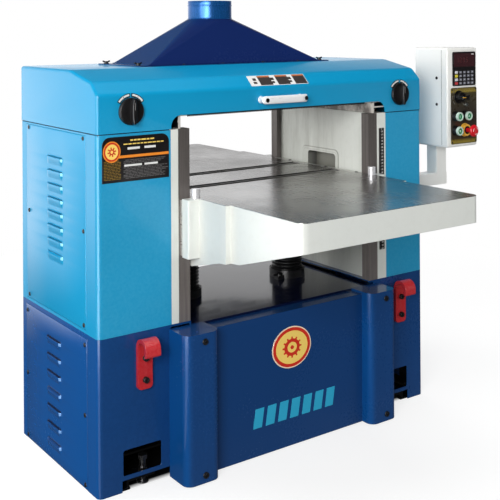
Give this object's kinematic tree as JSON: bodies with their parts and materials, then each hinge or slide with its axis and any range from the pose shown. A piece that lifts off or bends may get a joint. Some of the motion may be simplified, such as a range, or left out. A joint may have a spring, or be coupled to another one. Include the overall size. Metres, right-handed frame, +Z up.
{
  "type": "thickness planer",
  "caption": "Cabinet thickness planer with a rising table between machined ways, hinged top cover with dust hood, and a side control box.",
  "frame": {"origin": "on the floor, on the planing centreline, at mid-depth of the cabinet", "axes": "+Z up, -Y towards the infeed side where the operator stands, +X to the operator's right"},
  "size_m": [1.4686, 1.428, 1.29],
  "materials": {
    "cyan_paint": "gloss",
    "blue_paint": "gloss",
    "navy_paint": "gloss",
    "casting_paint": "gloss",
    "ground_iron": "ground",
    "machined_table": "ground",
    "dark_steel": "satin",
    "bright_steel": "satin",
    "chrome": "polished",
    "red_paint": "gloss",
    "black_rubber": "matte",
    "black_plastic": "matte",
    "box_paint": "gloss",
    "green_plastic": "gloss",
    "red_plastic": "gloss",
    "plate_print": "satin",
    "white_plastic": "gloss",
    "black_steel": "satin"
  },
  "bodies": {
    "frame": {"base_cabinet_left": "blue_paint", "base_cabinet_right": "blue_paint", "base_frame": "black_steel", "levelling_bolts": "chrome", "base_front_cover": "blue_paint", "base_rear_cover": "blue_paint", "base_deck": "navy_paint", "column_casting_left": "casting_paint", "column_casting_right": "casting_paint", "column_ways": "ground_iron", "column_cover_left": "cyan_paint", "column_cover_right": "cyan_paint", "vent_panel_upper_left": "cyan_paint", "vent_panel_lower_left": "blue_paint", "side_panels_right": "cyan_paint", "cabinet_screws": "black_steel", "lifting_hooks": "red_paint", "head_casting": "casting_paint", "head_bearings": "dark_steel", "main_motor": "black_steel", "drive_belts": "black_rubber", "feed_chain": "dark_steel", "feed_gearbox": "casting_paint", "head_cross_bars": "dark_steel", "screw_collars": "black_plastic", "screw_bellows": "black_rubber", "cover_hinges": "black_steel", "height_scale": "black_steel", "control_arm": "box_paint", "control_box": "box_paint", "switch_plate": "plate_print", "readout_panel": "black_plastic"},
    "table": {"table": "machined_table", "table_strips": "ground_iron", "height_pointer": "white_plastic", "lift_screws": "dark_steel"},
    "bed_roller_front": {"bed_roller_front": "bright_steel"},
    "bed_roller_rear": {"bed_roller_rear": "bright_steel"},
    "edge_roller_left": {"edge_roller_left": "chrome"},
    "edge_roller_right": {"edge_roller_right": "chrome"},
    "lift_nut_left": {"lift_nut_left": "dark_steel"},
    "lift_nut_right": {"lift_nut_right": "dark_steel"},
    "cutterhead": {"cutterhead": "bright_steel", "cutterhead_inserts": "bright_steel"},
    "motor_rotor": {"motor_rotor": "dark_steel"},
    "infeed_roller": {"infeed_roller": "dark_steel"},
    "outfeed_roller": {"outfeed_roller": "bright_steel"},
    "kickback_fingers": {"kickback_fingers": "black_steel"},
    "chip_breaker": {"chip_breaker": "dark_steel"},
    "top_cover": {"top_cover": "cyan_paint", "cover_handle": "chrome", "dust_hood": "navy_paint"},
    "latch_knob_left": {"latch_knob_left": "black_plastic"},
    "latch_knob_right": {"latch_knob_right": "black_plastic"},
    "rotary_switch": {"rotary_switch": "black_plastic"},
    "start_button": {"start_button": "green_plastic"},
    "table_up_button": {"table_up_button": "green_plastic"},
    "table_down_button": {"table_down_button": "green_plastic"},
    "emergency_stop_button": {"emergency_stop_button": "red_plastic"},
    "collar_lock_lever": {"collar_lock_lever": "black_steel"}
  },
  "joints": [
    {"name": "table_lift", "type": "slide", "parent": "frame", "child": "table", "axis": [0, 0, 1], "range_m": [0, 0.214], "deforming": ["screw_bellows"]},
    {"name": "lift_nut_left_spin", "type": "hinge", "parent": "frame", "child": "lift_nut_left", "pos_m": [-0.2, 0, 0.37], "axis": [0, 0, 1], "range_deg": [-5, 9640]},
    {"name": "lift_nut_right_spin", "type": "hinge", "parent": "frame", "child": "lift_nut_right", "pos_m": [0.2, 0, 0.37], "axis": [0, 0, 1], "range_deg": [-5, 9640]},
    {"name": "bed_roller_front_spin", "type": "hinge", "parent": "table", "child": "bed_roller_front", "pos_m": [0, -0.128, 0.7259], "axis": [1, 0, 0], "continuous": true},
    {"name": "bed_roller_rear_spin", "type": "hinge", "parent": "table", "child": "bed_roller_rear", "pos_m": [0, 0.07, 0.7259], "axis": [1, 0, 0], "continuous": true},
    {"name": "edge_roller_left_spin", "type": "hinge", "parent": "table", "child": "edge_roller_left", "pos_m": [-0.324, -0.273, 0.745], "axis": [0, 0, 1], "continuous": true},
    {"name": "edge_roller_right_spin", "type": "hinge", "parent": "table", "child": "edge_roller_right", "pos_m": [0.324, -0.273, 0.745], "axis": [0, 0, 1], "continuous": true},
    {"name": "cutterhead_spin", "type": "hinge", "parent": "frame", "child": "cutterhead", "pos_m": [0, 0, 1.021], "axis": [1, 0, 0], "continuous": true},
    {"name": "motor_spin", "type": "hinge", "parent": "frame", "child": "motor_rotor", "pos_m": [0, 0.13, 0.205], "axis": [1, 0, 0], "continuous": true},
    {"name": "infeed_spin", "type": "hinge", "parent": "frame", "child": "infeed_roller", "pos_m": [0, -0.092, 1.0015], "axis": [1, 0, 0], "continuous": true},
    {"name": "outfeed_spin", "type": "hinge", "parent": "frame", "child": "outfeed_roller", "pos_m": [0, 0.092, 1.0015], "axis": [1, 0, 0], "continuous": true},
    {"name": "kickback_swing", "type": "hinge", "parent": "frame", "child": "kickback_fingers", "pos_m": [0, -0.222, 1.003], "axis": [1, 0, 0], "range_deg": [0, 30]},
    {"name": "chip_breaker_swing", "type": "hinge", "parent": "frame", "child": "chip_breaker", "pos_m": [0, -0.054, 1.05], "axis": [-1, 0, 0], "range_deg": [0, 2.5]},
    {"name": "cover_hinge", "type": "hinge", "parent": "frame", "child": "top_cover", "pos_m": [0, 0.26, 0.934], "axis": [-1, 0, 0], "range_deg": [0, 52]},
    {"name": "latch_left_turn", "type": "hinge", "parent": "top_cover", "child": "latch_knob_left", "pos_m": [-0.51, -0.2525, 0.988], "axis": [0, 1, 0], "range_deg": [0, 90]},
    {"name": "latch_right_turn", "type": "hinge", "parent": "top_cover", "child": "latch_knob_right", "pos_m": [0.466, -0.2525, 0.988], "axis": [0, 1, 0], "range_deg": [0, 90]},
    {"name": "rotary_switch_turn", "type": "hinge", "parent": "frame", "child": "rotary_switch", "pos_m": [0.762, -0.236, 0.963], "axis": [0, 1, 0], "range_deg": [0, 90]},
    {"name": "start_press", "type": "slide", "parent": "frame", "child": "start_button", "axis": [0, 1, 0], "range_m": [0, 0.004]},
    {"name": "table_up_press", "type": "slide", "parent": "frame", "child": "table_up_button", "axis": [0, 1, 0], "range_m": [0, 0.004]},
    {"name": "table_down_press", "type": "slide", "parent": "frame", "child": "table_down_button", "axis": [0, 1, 0], "range_m": [0, 0.004]},
    {"name": "emergency_stop_press", "type": "slide", "parent": "frame", "child": "emergency_stop_button", "axis": [0, 1, 0], "range_m": [0, 0.006]},
    {"name": "collar_lever_turn", "type": "hinge", "parent": "frame", "child": "collar_lock_lever", "pos_m": [0.141, -0.034, 0.407], "axis": [0, 0, 1], "range_deg": [0, 40]}
  ],
  "couplings": [
    {"joint": "lift_nut_left_spin", "follows": "table_lift", "rad_per_m": 785.4},
    {"joint": "lift_nut_right_spin", "follows": "table_lift", "rad_per_m": 785.4},
    {"joint": "motor_spin", "follows": "cutterhead_spin", "ratio": 0.6875},
    {"joint": "outfeed_spin", "follows": "infeed_spin", "ratio": 1}
  ]
}
